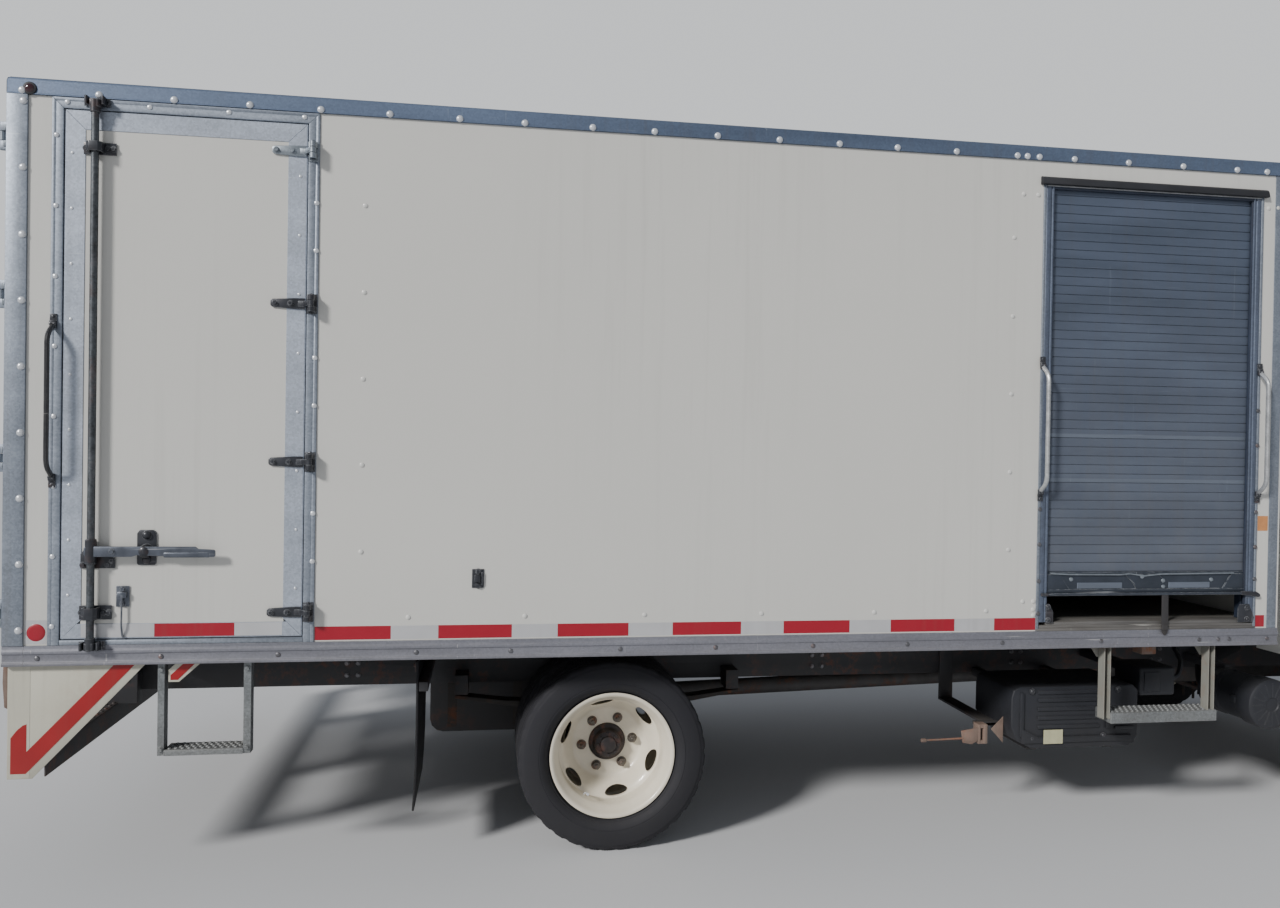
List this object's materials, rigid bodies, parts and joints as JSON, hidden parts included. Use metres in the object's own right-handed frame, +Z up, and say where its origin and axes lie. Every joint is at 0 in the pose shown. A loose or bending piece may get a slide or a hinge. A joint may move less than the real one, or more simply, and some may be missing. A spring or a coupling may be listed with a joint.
{
  "type": "box truck",
  "caption": "Cab-over box truck with an insulated body, a hinged side door, a roller shutter at the side and twin rear wheels.",
  "frame": {"origin": "on the ground under the middle of the truck's bounding box", "axes": "+X forward, towards the cab; +Y to the truck's left; +Z up"},
  "size_m": [7.18, 2.62, 2.962],
  "materials": {
    "body_panels": "cream paint, slightly aged",
    "body_rails": "mill finish, weathered",
    "galvanised_steel": "galvanised, dull",
    "shutter_slats": "blue-grey, dusty",
    "chassis_paint": "black chassis paint, dusty",
    "wheel_paint": "cream wheel paint",
    "tyre_rubber": "road-worn",
    "flap_rubber": "matt black",
    "cab_paint": "gloss white",
    "cab_glass": "clear, faint green",
    "interior_trim": "matt grey",
    "seat_cloth": "woven, dark grey",
    "black_plastic": "satin black",
    "castings": "bare, dull"
  },
  "bodies": {
    "chassis": {"chassis_frame": "chassis_paint", "front_axle": "chassis_paint", "rear_axle": "chassis_paint", "propeller_shaft": "chassis_paint", "engine_block": "castings", "fuel_tank": "chassis_paint", "battery_box": "black_plastic", "air_cleaner": "black_plastic", "exhaust": "castings", "floor": "galvanised_steel", "bottom_rail_left": "body_rails", "bottom_rail_right": "body_rails", "mud_flap_left": "flap_rubber", "mud_flap_right": "flap_rubber", "wall_left": "body_panels", "wall_right": "body_panels", "wall_right_rear": "body_panels", "front_wall": "body_panels", "roof": "body_rails", "rear_frame": "body_rails", "side_door_frame": "body_rails", "roller_door_frame": "body_rails", "roller_shutter": "shutter_slats", "rear_side_step": "galvanised_steel", "front_side_step": "body_panels", "rear_step_bumper": "chassis_paint", "front_bumper": "cab_paint"},
    "cab": {"cab_shell": "cab_paint", "windscreen": "cab_glass", "rear_window": "cab_glass", "seats": "seat_cloth", "dashboard": "interior_trim", "mirror_left": "black_plastic", "mirror_right": "black_plastic"},
    "cab_door_right": {"cab_door_right": "cab_paint", "door_glass_right": "cab_glass"},
    "cab_door_left": {"cab_door_left": "cab_paint", "door_glass_left": "cab_glass"},
    "steering_wheel": {"steering_wheel": "black_plastic"},
    "steer_left": {"knuckle_left": "chassis_paint"},
    "steer_right": {"knuckle_right": "chassis_paint"},
    "tie_rod": {"tie_rod": "chassis_paint"},
    "front_wheel_left": {"front_rim_left": "wheel_paint", "front_tyre_left": "tyre_rubber"},
    "front_wheel_right": {"front_rim_right": "wheel_paint", "front_tyre_right": "tyre_rubber"},
    "rear_wheels_left": {"rear_rims_left": "wheel_paint", "rear_tyre_outer_left": "tyre_rubber", "rear_tyre_inner_left": "tyre_rubber"},
    "rear_wheels_right": {"rear_rims_right": "wheel_paint", "rear_tyre_outer_right": "tyre_rubber", "rear_tyre_inner_right": "tyre_rubber"},
    "side_door": {"side_door": "body_panels", "side_door_lock": "galvanised_steel"},
    "rear_door_right": {"rear_door_right": "body_panels"},
    "rear_door_left": {"rear_door_left": "body_panels"}
  },
  "joints": [
    {"name": "cab_tilt", "type": "hinge", "parent": "chassis", "child": "cab", "pos_m": [3.3, 0, 0.8], "axis": [0, 1, 0], "range_deg": [0, 45]},
    {"name": "cab_door_right_hinge", "type": "hinge", "parent": "cab", "child": "cab_door_right", "pos_m": [3.22, -1.026, 1.38], "axis": [0, 0, 1], "range_deg": [0, 70]},
    {"name": "cab_door_left_hinge", "type": "hinge", "parent": "cab", "child": "cab_door_left", "pos_m": [3.22, 1.026, 1.38], "axis": [0, 0, -1], "range_deg": [0, 70]},
    {"name": "steering_wheel_turn", "type": "hinge", "parent": "cab", "child": "steering_wheel", "pos_m": [2.86, 0.54, 1.53], "axis": [-0.5299, 0, 0.848], "range_deg": [-460, 460]},
    {"name": "steer_left_kingpin", "type": "hinge", "parent": "chassis", "child": "steer_left", "pos_m": [2.499, 0.7, 0.392], "axis": [0, 0, 1], "range_deg": [-35, 35]},
    {"name": "steer_right_kingpin", "type": "hinge", "parent": "chassis", "child": "steer_right", "pos_m": [2.499, -0.7, 0.392], "axis": [0, 0, 1], "range_deg": [-36, 36]},
    {"name": "tie_rod_ball", "type": "hinge", "parent": "steer_left", "child": "tie_rod", "pos_m": [2.319, 0.7, 0.392], "axis": [0, 0, 1], "range_deg": [-36, 36]},
    {"name": "front_wheel_left_spin", "type": "hinge", "parent": "steer_left", "child": "front_wheel_left", "pos_m": [2.499, 0.8325, 0.392], "axis": [0, 1, 0], "continuous": true},
    {"name": "front_wheel_right_spin", "type": "hinge", "parent": "steer_right", "child": "front_wheel_right", "pos_m": [2.499, -0.8325, 0.392], "axis": [0, 1, 0], "continuous": true},
    {"name": "rear_wheels_left_spin", "type": "hinge", "parent": "chassis", "child": "rear_wheels_left", "pos_m": [-1.311, 0.818, 0.392], "axis": [0, 1, 0], "continuous": true},
    {"name": "rear_wheels_right_spin", "type": "hinge", "parent": "chassis", "child": "rear_wheels_right", "pos_m": [-1.311, -0.818, 0.392], "axis": [0, 1, 0], "continuous": true},
    {"name": "side_door_hinge", "type": "hinge", "parent": "chassis", "child": "side_door", "pos_m": [-2.4955, -1.246, 0.956], "axis": [0, 0, 1], "range_deg": [0, 180]},
    {"name": "rear_door_right_hinge", "type": "hinge", "parent": "chassis", "child": "rear_door_right", "pos_m": [-3.58, -1.184, 0.956], "axis": [0, 0, 1], "range_deg": [0, 180]},
    {"name": "rear_door_left_hinge", "type": "hinge", "parent": "chassis", "child": "rear_door_left", "pos_m": [-3.58, 1.184, 0.956], "axis": [0, 0, -1], "range_deg": [0, 180]}
  ],
  "couplings": [
    {"joint": "steer_right_kingpin", "follows": "steer_left_kingpin", "ratio": 1},
    {"joint": "tie_rod_ball", "follows": "steer_left_kingpin", "ratio": -1},
    {"joint": "steering_wheel_turn", "follows": "steer_left_kingpin", "ratio": 13}
  ]
}
